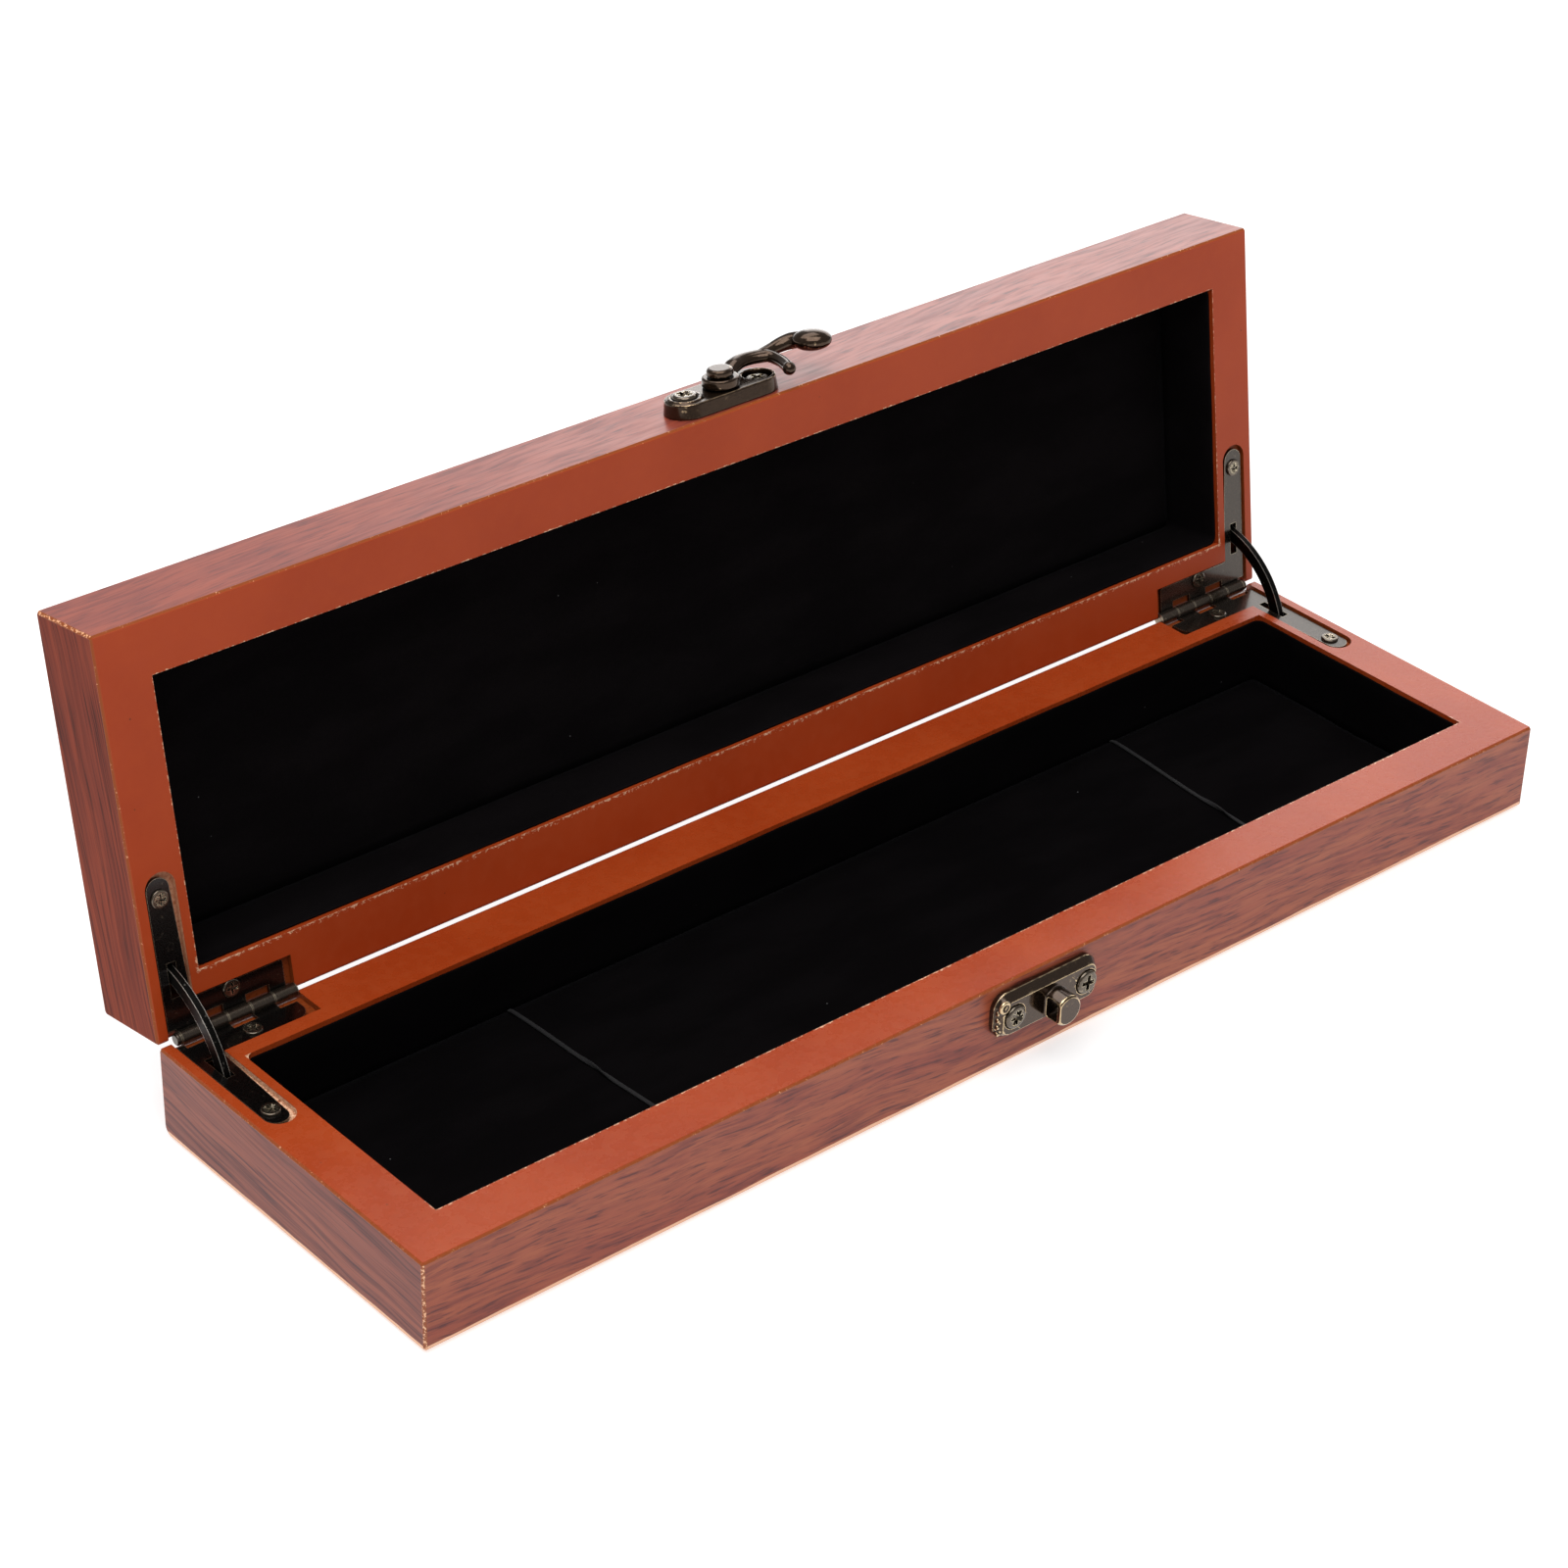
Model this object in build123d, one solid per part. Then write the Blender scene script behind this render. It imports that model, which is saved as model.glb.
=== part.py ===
from build123d import *
import os
from math import asin, cos, degrees, radians, sin

# A hinged wooden case for fountain pens, stored open. Millimetres, +Z up.
# X runs along the case, Y from the latch side (front) to the hinge side (back).
# The origin lies on the face that the base stands on, under the middle of the cavity.

# --- Driving dimensions ---------------------------------------------------------
LENGTH = 230.0
FRONT_Y = -32.0
BACK_Y = 32.85
BASE_HEIGHT = 15.5
LID_HEIGHT = 14.8
OPEN_ANGLE = 98.6

RIM_WIDTH = 8.6
BASE_FLOOR = 2.3
LID_FLOOR = 2.0
RIM_GAP = 0.1
VENEER = 0.3
EDGE_BREAK = 0.35
VENEER_MARGIN = 0.45
BASE_REAR_RADIUS = 1.8
LID_REAR_RADIUS = 0.9
CAVITY_CORNER = 1.5

# Lining
LINING = 0.5
LINING_DROP = 0.7
BASE_PAD = 0.9
LID_PAD = 0.6
PAD_GAP = 0.3
ELASTIC_WIDTH = 1.4
ELASTIC_THICKNESS = 0.4
ELASTIC_TAIL = 0.22
ELASTIC_LIFT = 0.15
ELASTIC_X = {"left": -58.0, "right": 69.0}

# Hinges: the left one is drawn, the right one is its mirror image
BARREL_RADIUS = 1.1
PIN_RADIUS = 0.6
RUNNING_GAP = 0.03
LEAF = 0.6
LEG_OUTER_X = -112.7
LEG_ROOT_WIDTH = 4.6
LEG_END_WIDTH = 3.9
LEG_END_Y = 7.1
STRAP_FRONT_Y = {"base": 26.7, "lid": 27.5}
STRAP_END_X = -92.2
STRAP_CORNER = {"base": 2.4, "lid": 0.4}
OWN_KNUCKLES = {"base": (1, 3), "lid": (0, 2, 4)}
KNUCKLE_START_X = -111.4
KNUCKLE_LENGTH = 4.08
KNUCKLES = 5
KNUCKLE_GAP = 0.08
WINDOW_DEPTH = 2.2
MORTISE_OUTER_X = -113.1
MORTISE_INNER_X = -107.9
MORTISE_END_Y = 6.1
MORTISE_STRAP_X = -90.9
MORTISE_ROOM = 0.4
PIN_HEAD = 0.75
HINGE_SCREWS = ((-110.7, 10.4), (-101.4, 28.6))

# Stays: one curved strut per hinge, sliding through slots in both leaves
STAY_X = -110.5
STAY_THICKNESS = 1.1
STAY_WIDTH = 2.1
STAY_RADIUS = 17.0
STAY_REACH = 7.9
STOP_WIDTH = 2.1
STOP_LENGTH = 1.1
STOP_DROP = 0.45
SLOT_WIDTH = 1.5
SLOT_NEAR = 6.3
SLOT_FAR = 12.0
POCKET_WIDTH = 2.6
POCKET_NEAR = 3.2
POCKET_FAR = 12.8
POCKET_DEPTH = 12.0

# Latch on the lid's front face, catch on the base's
PIVOT_X = 2.4
PIVOT_ABOVE_RIM = 4.6
LATCH_LENGTH = 21.1
LATCH_WIDTH = 7.4
LATCH_SHIFT = -0.2
LATCH_THICKNESS = 2.4
LATCH_SCREWS = (-7.3, 7.3)
EYE_RADIUS = 3.0
EYE_THICKNESS = 1.6
EYE_GAP = 0.1
RIVET_RADIUS = 1.2
RIVET_DEPTH = 3.0
RIVET_CAP_RADIUS = 2.15
RIVET_CAP = 1.15
ARM_LINE = (
    (1.4, 0.8, 3.3),
    (2.9, 1.7, 3.4),
    (4.6, 2.5, 3.8),
    (7.0, 3.05, 4.0),
    (9.3, 2.6, 4.0),
    (10.9, 1.9, 4.0),
)
HOOK_LINE = ((9.8, 2.5, 4.0), (11.0, 1.3, 3.95), (11.25, 0.2, 3.8), (10.95, -2.2, 3.65), (9.9, -4.9, 3.6))
HORN_LINE = ((10.2, 2.4, 4.0), (12.5, 2.5, 4.35), (15.0, 2.1, 4.85), (16.6, 0.6, 5.3))
ARM_SECTION = (1.25, 0.8)
HOOK_SECTION = (0.75, 0.75)
HORN_SECTION = (0.95, 0.82)
HOOK_TIP_RADIUS = 0.86
KNOB_CENTRE = (17.6, -1.5, 5.45)
KNOB_SIZE = (2.75, 2.1, 1.15)
KNOB_TURN = -45.0
LATCH_RAISE = 0.35
LATCH_SUNK = 1.1
KEEPER_PLACE = (2.0, 9.45)
KEEPER_RADIUS = 2.6
KEEPER_FLAT = 1.9
KEEPER_HEIGHT = 5.6
KEEPER_OPENING = ((-1.75, 1.75), (2.45, 4.85))
CATCH_CENTRE = (1.1, 10.2)
CATCH_LENGTH = 21.4
CATCH_WIDTH = 7.9
CATCH_THICKNESS = 2.2
CATCH_EDGE = 0.9
CATCH_SCREWS = (-6.2, 8.8)

# Screws: head radius, head height, shank radius, shank length
HINGE_SCREW = (1.5, 0.4, 0.8, 5.0)
FITTING_SCREW = (2.0, 0.8, 0.9, 6.0)
PILOT_GAP = 0.03

# --- Derived places ----------------------------------------------------------------
HINGE_Y = BACK_Y
HINGE_Z = BASE_HEIGHT + RIM_GAP / 2
HINGE_AXIS = Axis((0, HINGE_Y, HINGE_Z), (1, 0, 0))
AXIS_ABOVE_RIM = RIM_GAP / 2
LEAF_BOTTOM = AXIS_ABOVE_RIM - BARREL_RADIUS
LEAF_TOP = LEAF_BOTTOM + LEAF
CAVITY = (LENGTH - 2 * RIM_WIDTH, -2 * (FRONT_Y + RIM_WIDTH))
LID_RIM_Z = BASE_HEIGHT + RIM_GAP
FRONT = Plane(origin=(0, FRONT_Y, 0), x_dir=(1, 0, 0), z_dir=(0, -1, 0))
PIVOT = (PIVOT_X, LID_RIM_Z + PIVOT_ABOVE_RIM, 0)
LOW = (Align.CENTER, Align.CENTER, Align.MIN)
HIGH = (Align.CENTER, Align.CENTER, Align.MAX)


# --- Helpers -------------------------------------------------------------------------
def block(x_range, y_range, z_range):
    """A box between three pairs of limits."""
    spans = (x_range, y_range, z_range)
    sizes = [high - low for low, high in spans]
    centre = [(high + low) / 2 for low, high in spans]
    return Pos(*centre) * Box(*sizes)


def rod_x(x_range, radius, y, z):
    """A round bar along X."""
    low, high = x_range
    return Pos((low + high) / 2, y, z) * Rot(0, 90, 0) * Cylinder(radius, high - low)


def screw(size):
    """A cross-slotted screw: its head stands on z = 0 and its shank points down."""
    head_radius, head_height, shank_radius, shank_length = size
    head = Cylinder(head_radius, head_height, align=LOW)
    head = fillet(head.edges().sort_by(Axis.Z)[-1], 0.6 * head_height)
    slot = Pos(0, 0, head_height) * Box(1.25 * head_radius, 0.2 * head_radius, head_height)
    head -= slot + Rot(0, 0, 90) * slot
    return head + Cylinder(shank_radius, shank_length, align=HIGH)


def pilot(size):
    """The hole that a screw's shank fills."""
    return Cylinder(size[2] + PILOT_GAP, size[3] + PILOT_GAP, align=HIGH)


def flipped(shape):
    """The right-hand twin of a left-hand piece."""
    return mirror(shape, about=Plane.YZ)


def on_base(shape):
    """From half coordinates, rim at z = 0 and wood below, to the base."""
    return Pos(0, 0, BASE_HEIGHT) * shape


def opened(shape):
    """From the closed lid's place to the open lid's."""
    return shape.rotate(HINGE_AXIS, -OPEN_ANGLE)


def on_lid(shape):
    """From half coordinates to the open lid."""
    return opened(Pos(0, 0, LID_RIM_Z) * mirror(shape, about=Plane.XY))


def save(node, shape):
    export_step(shape, f"parts/{node}.step")


def group(solids):
    return Compound(children=list(solids))


# --- Wooden halves --------------------------------------------------------------------
def half_profile(height, rear_radius):
    """Cross-section of a half: rim up, the long rear edge away from the rim rounded."""
    section = Pos((FRONT_Y + BACK_Y) / 2, -height / 2) * Rectangle(BACK_Y - FRONT_Y, height)
    corners = section.vertices()
    rear_low = corners.sort_by(Axis.Y)[:2].sort_by(Axis.X)[-1]
    section = fillet(rear_low, rear_radius)
    rear_top = section.vertices().sort_by(Axis.Y)[-2:].sort_by(Axis.X)[-1]
    section = fillet(rear_top, 2 * EDGE_BREAK)
    sharp = [v for v in section.vertices() if v.X < FRONT_Y + 0.01]
    return chamfer(sharp, EDGE_BREAK)


def along_x(section, x_start, length):
    """Extrudes a Y-Z section from x_start towards +X."""
    plane = Plane(origin=(x_start, 0, 0), x_dir=(0, 1, 0), z_dir=(1, 0, 0))
    return extrude(plane * section, amount=length)


def hinge_mortise(half):
    """Everything cut from a half's rim to let in the left hinge and its stay."""
    leg_width = MORTISE_INNER_X - MORTISE_OUTER_X
    leg_x = (MORTISE_INNER_X + MORTISE_OUTER_X) / 2
    leg_end = MORTISE_END_Y + leg_width / 2
    strap_front = STRAP_FRONT_Y[half] - MORTISE_ROOM
    deep = (LEAF_BOTTOM, 1.0)
    cut = block((MORTISE_OUTER_X, MORTISE_INNER_X), (leg_end, BACK_Y + 1), deep)
    cut += Pos(leg_x, leg_end, LEAF_BOTTOM) * Cylinder(leg_width / 2, 1.0 - LEAF_BOTTOM, align=LOW)
    cut += block((MORTISE_OUTER_X, MORTISE_STRAP_X), (strap_front, BACK_Y + 1), deep)
    barrel_x = (MORTISE_OUTER_X, MORTISE_STRAP_X)
    cut += rod_x(barrel_x, BARREL_RADIUS + 0.25, HINGE_Y, AXIS_ABOVE_RIM)
    pocket_x = (STAY_X - POCKET_WIDTH / 2, STAY_X + POCKET_WIDTH / 2)
    cut += block(pocket_x, (HINGE_Y - POCKET_FAR, HINGE_Y - POCKET_NEAR), (-POCKET_DEPTH, 0))
    for x, y in HINGE_SCREWS:
        cut += Pos(x, y, LEAF_TOP) * pilot(HINGE_SCREW)
    return cut


def cavity(height, floor, corner_radius):
    """The space routed out of a half; one rear corner is round."""
    space = Box(CAVITY[0], CAVITY[1], height - floor + 1.0, align=HIGH)
    upright = space.edges().filter_by(Axis.Z)
    rear_left = upright.sort_by(Axis.X)[:2].sort_by(Axis.Y)[-1]
    if corner_radius > 0:
        space = fillet(rear_left, corner_radius)
    return Pos(0, 0, 1.0) * space


def veneers(height, rear_radius):
    """The five sheets of grained veneer on a half, by the side they cover."""
    x_limits = (-LENGTH / 2 + VENEER_MARGIN, LENGTH / 2 - VENEER_MARGIN)
    side_z = (-height + VENEER_MARGIN, -VENEER_MARGIN)
    back_z = (-height + rear_radius, -2 * VENEER_MARGIN)
    flat_y = (FRONT_Y + VENEER_MARGIN, BACK_Y - rear_radius)
    end = offset(half_profile(height, rear_radius), -VENEER_MARGIN)
    return {
        "front": block(x_limits, (FRONT_Y, FRONT_Y + VENEER), side_z),
        "back": block(x_limits, (BACK_Y - VENEER, BACK_Y), back_z),
        "flat": block(x_limits, flat_y, (-height, -height + VENEER)),
        "left": along_x(end, -LENGTH / 2, VENEER),
        "right": along_x(end, LENGTH / 2 - VENEER, VENEER),
    }


def wooden_half(half, height, floor, rear_radius, corner_radius):
    """A routed half with its hinge mortises, and the veneer sheets let into it."""
    mortise = hinge_mortise(half)
    cuts = [mortise, flipped(mortise)]
    sheets = veneers(height, rear_radius)
    shell = along_x(half_profile(height, rear_radius), -LENGTH / 2, LENGTH)
    shell = chamfer(shell.faces().filter_by(Axis.X).edges(), EDGE_BREAK)
    shell -= [cavity(height, floor, corner_radius), *cuts, *sheets.values()]
    return shell, {side: sheet - cuts for side, sheet in sheets.items()}


# --- Lining ----------------------------------------------------------------------------
def wall_lining(height, floor):
    """A strip of velvet-covered card standing round the cavity's walls."""
    tall = height - floor - LINING_DROP
    outer = Box(CAVITY[0], CAVITY[1], tall, align=LOW)
    outer = fillet(outer.edges().filter_by(Axis.Z), CAVITY_CORNER)
    inner = Box(CAVITY[0] - 2 * LINING, CAVITY[1] - 2 * LINING, 3 * tall)
    inner = fillet(inner.edges().filter_by(Axis.Z), CAVITY_CORNER - LINING)
    return Pos(0, 0, floor - height) * (outer - inner)


def floor_pad(height, floor, thickness):
    """The velvet-covered pad on a half's floor."""
    inset = 2 * (LINING + PAD_GAP)
    sheet = Box(CAVITY[0] - inset, CAVITY[1] - inset, thickness, align=LOW)
    sheet = fillet(sheet.edges().filter_by(Axis.Z), 1.0)
    return Pos(0, 0, floor - height) * sheet


def elastic(x):
    """A flat elastic across the base, its two ends tucked down behind the pad."""
    reach = CAVITY[1] / 2 - LINING - 0.03
    low = BASE_FLOOR - BASE_HEIGHT + BASE_PAD + ELASTIC_LIFT
    across = (x - ELASTIC_WIDTH / 2, x + ELASTIC_WIDTH / 2)
    band = block(across, (-reach, reach), (low, low + ELASTIC_THICKNESS))
    for y_range in ((-reach, ELASTIC_TAIL - reach), (reach - ELASTIC_TAIL, reach)):
        band += block(across, y_range, (BASE_FLOOR - BASE_HEIGHT, low + ELASTIC_THICKNESS))
    return band


# --- Hinges ------------------------------------------------------------------------------
def knuckle_span(index):
    start = KNUCKLE_START_X + index * KNUCKLE_LENGTH
    return (start + KNUCKLE_GAP / 2, start + KNUCKLE_LENGTH - KNUCKLE_GAP / 2)


def leaf_leg():
    """The long leg of a leaf: it narrows towards its round end."""
    end_radius = LEG_END_WIDTH / 2
    end_y = LEG_END_Y + end_radius
    corners = [
        (LEG_OUTER_X, end_y),
        (LEG_OUTER_X + LEG_END_WIDTH, end_y),
        (LEG_OUTER_X + LEG_ROOT_WIDTH, STRAP_FRONT_Y["lid"]),
        (LEG_OUTER_X + LEG_ROOT_WIDTH, HINGE_Y),
        (LEG_OUTER_X, HINGE_Y),
    ]
    outline = make_face(Polyline(*corners, close=True))
    outline += Pos(LEG_OUTER_X + end_radius, end_y) * Circle(end_radius)
    return extrude(Pos(0, 0, LEAF_BOTTOM) * outline, amount=LEAF)


def hinge_leaf(half):
    """The left hinge's L-shaped leaf with its knuckles, stay slot and screw holes."""
    strap_y = (STRAP_FRONT_Y[half], HINGE_Y)
    strap = block((LEG_OUTER_X, STRAP_END_X), strap_y, (LEAF_BOTTOM, LEAF_TOP))
    free_corner = strap.edges().filter_by(Axis.Z).sort_by(Axis.Y)[:2].sort_by(Axis.X)[-1]
    leaf = fillet(free_corner, STRAP_CORNER[half]) + leaf_leg()
    below = (LEAF_BOTTOM - 1, AXIS_ABOVE_RIM)
    beside = (HINGE_Y - BARREL_RADIUS - 0.2, HINGE_Y + 1)
    window = (HINGE_Y - BARREL_RADIUS - WINDOW_DEPTH / 2, HINGE_Y + 1)
    barrel = (knuckle_span(0)[0], knuckle_span(KNUCKLES - 1)[1])
    leaf -= block((LEG_OUTER_X - 1, barrel[0]), beside, below)
    leaf -= block((barrel[1], barrel[1] + 5), beside, below)
    for index in range(KNUCKLES):
        low, high = knuckle_span(index)
        if index in OWN_KNUCKLES[half]:
            leaf += rod_x((low, high), BARREL_RADIUS, HINGE_Y, AXIS_ABOVE_RIM)
        else:
            leaf -= block((low - KNUCKLE_GAP, high + KNUCKLE_GAP), window, below)
    leaf -= rod_x(barrel, PIN_RADIUS + RUNNING_GAP, HINGE_Y, AXIS_ABOVE_RIM)
    slot_x = (STAY_X - SLOT_WIDTH / 2, STAY_X + SLOT_WIDTH / 2)
    leaf -= block(slot_x, (HINGE_Y - SLOT_FAR, HINGE_Y - SLOT_NEAR), below)
    for x, y in HINGE_SCREWS:
        leaf -= Pos(x, y, LEAF_TOP) * pilot(HINGE_SCREW)
    return leaf


def leaf_screws():
    """The two screws that hold a leaf of the left hinge."""
    return group(Pos(x, y, LEAF_TOP) * screw(HINGE_SCREW) for x, y in HINGE_SCREWS)


def hinge_pin():
    """The left hinge's pin, with a formed head at its outer end."""
    head_end = knuckle_span(0)[0] - 0.05
    tail_end = knuckle_span(KNUCKLES - 1)[1] + 0.05
    pin = rod_x((head_end - PIN_HEAD / 2, tail_end), PIN_RADIUS, HINGE_Y, HINGE_Z)
    head = rod_x((head_end - PIN_HEAD, head_end), BARREL_RADIUS - 0.1, HINGE_Y, HINGE_Z)
    head = fillet(head.edges().sort_by(Axis.X)[0], 0.3)
    return pin + head


def arc_strip(start_angle, arc_size, thickness):
    """A flat curved strip in the X-Y plane about the origin, standing on both sides of it."""
    outer = CenterArc((0, 0), STAY_RADIUS + STAY_WIDTH / 2, start_angle, arc_size)
    inner = CenterArc((0, 0), STAY_RADIUS - STAY_WIDTH / 2, start_angle, arc_size)
    ends = [Line(outer @ 0, inner @ 0), Line(outer @ 1, inner @ 1)]
    return extrude(make_face([outer, inner] + ends), amount=thickness / 2, both=True)


def stay():
    """The left stay at rest: an arc with a wider stop at each end, under the two leaves.

    It lies symmetrically between the two rims. Its arc is flatter than one drawn about
    the hinge's axis, so that its own centre lies behind the hinge.
    """
    half_open = radians(OPEN_ANGLE / 2)
    centre = STAY_REACH - STAY_RADIUS
    stop_depth = AXIS_ABOVE_RIM - LEAF_BOTTOM + STOP_DROP
    stop_angle = degrees(half_open + asin((stop_depth + centre * sin(half_open)) / STAY_RADIUS))
    stop_span = degrees(STOP_LENGTH / STAY_RADIUS)
    end_angle = stop_angle + stop_span
    strut = arc_strip(-end_angle, 2 * end_angle, STAY_THICKNESS)
    strut += arc_strip(stop_angle, stop_span, STOP_WIDTH)
    strut += arc_strip(-end_angle, stop_span, STOP_WIDTH)
    out = radians(180 - OPEN_ANGLE / 2)
    y = HINGE_Y + centre * cos(out)
    z = HINGE_Z + centre * sin(out)
    return Plane((STAY_X, y, z), x_dir=(0, cos(out), sin(out)), z_dir=(1, 0, 0)).location * strut


# --- Latch and catch -----------------------------------------------------------------------
def on_front(shape):
    """From front coordinates (X, then up, then out of the face) to the closed case."""
    return FRONT.location * shape


def at_pivot(shape):
    """As on_front, from coordinates about the latch's pivot."""
    return on_front(Pos(*PIVOT) * shape)


def latch_plate():
    """A round-ended plate with a raised seat, a sunk seat and a hole for the rivet."""
    outline = Pos(LATCH_SHIFT, 0) * SlotOverall(LATCH_LENGTH, LATCH_WIDTH)
    plate = extrude(outline, amount=LATCH_THICKNESS, taper=7)
    low, high = LATCH_SCREWS
    raised_top = LATCH_THICKNESS + LATCH_RAISE
    plate += Pos(low, 0, 0) * Cone(3.1, 2.75, raised_top, align=LOW)
    plate -= Pos(low, 0, LATCH_THICKNESS) * Cylinder(2.15, 1.0, align=LOW)
    plate -= Pos(high, 0, LATCH_SUNK) * Cylinder(2.45, 3.0, align=LOW)
    for x in LATCH_SCREWS:
        plate -= Pos(x, 0, 0) * Cylinder(FITTING_SCREW[2] + PILOT_GAP, 9.0)
    return plate - Cylinder(RIVET_RADIUS + RUNNING_GAP, 9.0)


def latch_screw_seats():
    """Each latch screw's X, and the height of its seat off the lid's face."""
    low, high = LATCH_SCREWS
    return ((PIVOT_X + low, LATCH_THICKNESS), (PIVOT_X + high, LATCH_SUNK))


def latch_rivet():
    """The domed rivet that the arm turns on."""
    cap_low = LATCH_THICKNESS + EYE_THICKNESS + 3 * EYE_GAP
    cap = Pos(0, 0, cap_low) * Cylinder(RIVET_CAP_RADIUS, RIVET_CAP, align=LOW)
    cap = fillet(cap.edges().sort_by(Axis.Z)[-1], 0.55)
    shank = Pos(0, 0, -RIVET_DEPTH) * Cylinder(RIVET_RADIUS, RIVET_DEPTH + cap_low, align=LOW)
    return cap + shank


def oval_bar(points, section):
    """A bar with an oval section (half width, half height) along a smooth line."""
    line = Spline(*points)
    tangent = line % 0
    sideways = Vector(0, 0, 1).cross(tangent)
    start = Plane(origin=line @ 0, x_dir=sideways, z_dir=tangent)
    return sweep(start * Ellipse(*section), path=line)


def latch_arm():
    """The turning arm, drawn pointing along +X from its eye.

    It forks into a hook, which runs through the catch's keeper, and a horn with a knob.
    """
    low = LATCH_THICKNESS + EYE_GAP
    eye = Pos(0, 0, low) * Cylinder(EYE_RADIUS, EYE_THICKNESS, align=LOW)
    eye = fillet(eye.edges(), 0.3)
    arm = oval_bar(ARM_LINE, ARM_SECTION)
    hook = oval_bar(HOOK_LINE, HOOK_SECTION)
    horn = oval_bar(HORN_LINE, HORN_SECTION)
    tip = Pos(*HOOK_LINE[-1]) * Sphere(HOOK_TIP_RADIUS)
    knob = Pos(*KNOB_CENTRE) * Rot(0, 0, KNOB_TURN) * scale(Sphere(1.0), by=KNOB_SIZE)
    body = eye + arm + hook + horn + tip + knob
    return body - Cylinder(RIVET_RADIUS + RUNNING_GAP, 12.0)


def keeper():
    """The catch's hood: a round post, flat on its left, with a way through for the hook."""
    post = Cylinder(KEEPER_RADIUS, KEEPER_HEIGHT, align=LOW)
    post = chamfer(post.edges().sort_by(Axis.Z)[-1], 0.3)
    left = block((-9, -KEEPER_FLAT), (-9, 9), (-1, 9))
    opening_y, opening_z = KEEPER_OPENING
    way = block((-9, 9), opening_y, opening_z)
    way = fillet(way.edges().filter_by(Axis.X), 0.5)
    return post - left - way


def catch_plate():
    """The bevelled catch plate with its keeper, and a scroll worked on its left end."""
    outline = Pos(*CATCH_CENTRE) * RectangleRounded(CATCH_LENGTH, CATCH_WIDTH, 2.6)
    plate = extrude(outline, amount=CATCH_EDGE)
    bevel = Pos(0, 0, CATCH_EDGE) * outline
    plate += extrude(bevel, amount=CATCH_THICKNESS - CATCH_EDGE, taper=38)
    left = CATCH_CENTRE[0] - CATCH_LENGTH / 2
    for index in range(4):
        rib_y = CATCH_CENTRE[1] - 2.4 + 1.25 * index
        plate += Pos(left + 1.15, rib_y, 1.45) * Rot(0, 90, 0) * Cylinder(0.4, 1.9)
    plate += Pos(left + 1.3, CATCH_CENTRE[1] + 2.35, 2.0) * Torus(0.8, 0.32)
    plate += Pos(*KEEPER_PLACE) * keeper()
    for x in CATCH_SCREWS:
        seat = Pos(x, CATCH_CENTRE[1], CATCH_THICKNESS - 0.3)
        plate -= seat * Cylinder(FITTING_SCREW[0] + 0.12, 2.0, align=LOW)
        plate -= Pos(x, CATCH_CENTRE[1], 0) * Cylinder(FITTING_SCREW[2] + PILOT_GAP, 9.0)
    return plate


def catch_screw_seats():
    """Each catch screw's X, and the height of its seat off the base's face."""
    return ((x, CATCH_THICKNESS - 0.3) for x in CATCH_SCREWS)


def front_screws(seats, up):
    """Screws driven into the front face; seats gives each one's X and height off the face."""
    return group(on_front(Pos(x, up, out) * screw(FITTING_SCREW)) for x, out in seats)


def front_pilots(seats, up):
    return [on_front(Pos(x, up, out) * pilot(FITTING_SCREW)) for x, out in seats]


# --- The base ------------------------------------------------------------------------------
def build_base():
    nodes = {}
    holes = front_pilots(catch_screw_seats(), CATCH_CENTRE[1])
    wood = wooden_half("base", BASE_HEIGHT, BASE_FLOOR, BASE_REAR_RADIUS, CAVITY_CORNER)
    nodes["base_shell"] = on_base(wood[0]) - holes
    for side, sheet in wood[1].items():
        nodes[f"base_veneer_{side.replace('flat', 'bottom')}"] = on_base(sheet) - holes
    nodes["base_wall_lining"] = on_base(wall_lining(BASE_HEIGHT, BASE_FLOOR))
    nodes["base_floor_pad"] = on_base(floor_pad(BASE_HEIGHT, BASE_FLOOR, BASE_PAD))
    for side, x in ELASTIC_X.items():
        nodes[f"pen_elastic_{side}"] = on_base(elastic(x))
    nodes["catch_plate"] = on_front(catch_plate())
    nodes["catch_screws"] = front_screws(catch_screw_seats(), CATCH_CENTRE[1])
    return nodes


# --- The lid -------------------------------------------------------------------------------
def build_lid():
    nodes = {}
    holes = front_pilots(latch_screw_seats(), PIVOT[1])
    holes.append(at_pivot(Cylinder(RIVET_RADIUS + RUNNING_GAP, 2 * RIVET_DEPTH + 0.1)))
    holes = [opened(hole) for hole in holes]
    wood = wooden_half("lid", LID_HEIGHT, LID_FLOOR, LID_REAR_RADIUS, 0)
    nodes["lid_shell"] = on_lid(wood[0]) - holes
    for side, sheet in wood[1].items():
        nodes[f"lid_veneer_{side.replace('flat', 'top')}"] = on_lid(sheet) - holes
    nodes["lid_wall_lining"] = on_lid(wall_lining(LID_HEIGHT, LID_FLOOR))
    nodes["lid_floor_pad"] = on_lid(floor_pad(LID_HEIGHT, LID_FLOOR, LID_PAD))
    nodes["latch_plate"] = opened(at_pivot(latch_plate()))
    nodes["latch_rivet"] = opened(at_pivot(latch_rivet()))
    nodes["latch_arm"] = opened(at_pivot(latch_arm()))
    nodes["latch_screws"] = opened(front_screws(latch_screw_seats(), PIVOT[1]))
    return nodes


# --- The hinges ----------------------------------------------------------------------------
def build_hinges():
    nodes = {}
    left = {
        "base_leaf": on_base(hinge_leaf("base")),
        "lid_leaf": on_lid(hinge_leaf("lid")),
        "base_leaf_screws": on_base(leaf_screws()),
        "lid_leaf_screws": on_lid(leaf_screws()),
        "hinge_pin": hinge_pin(),
        "stay": stay(),
    }
    for name, shape in left.items():
        nodes[f"left_{name}"] = shape
        nodes[f"right_{name}"] = flipped(shape)
    return nodes


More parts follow.
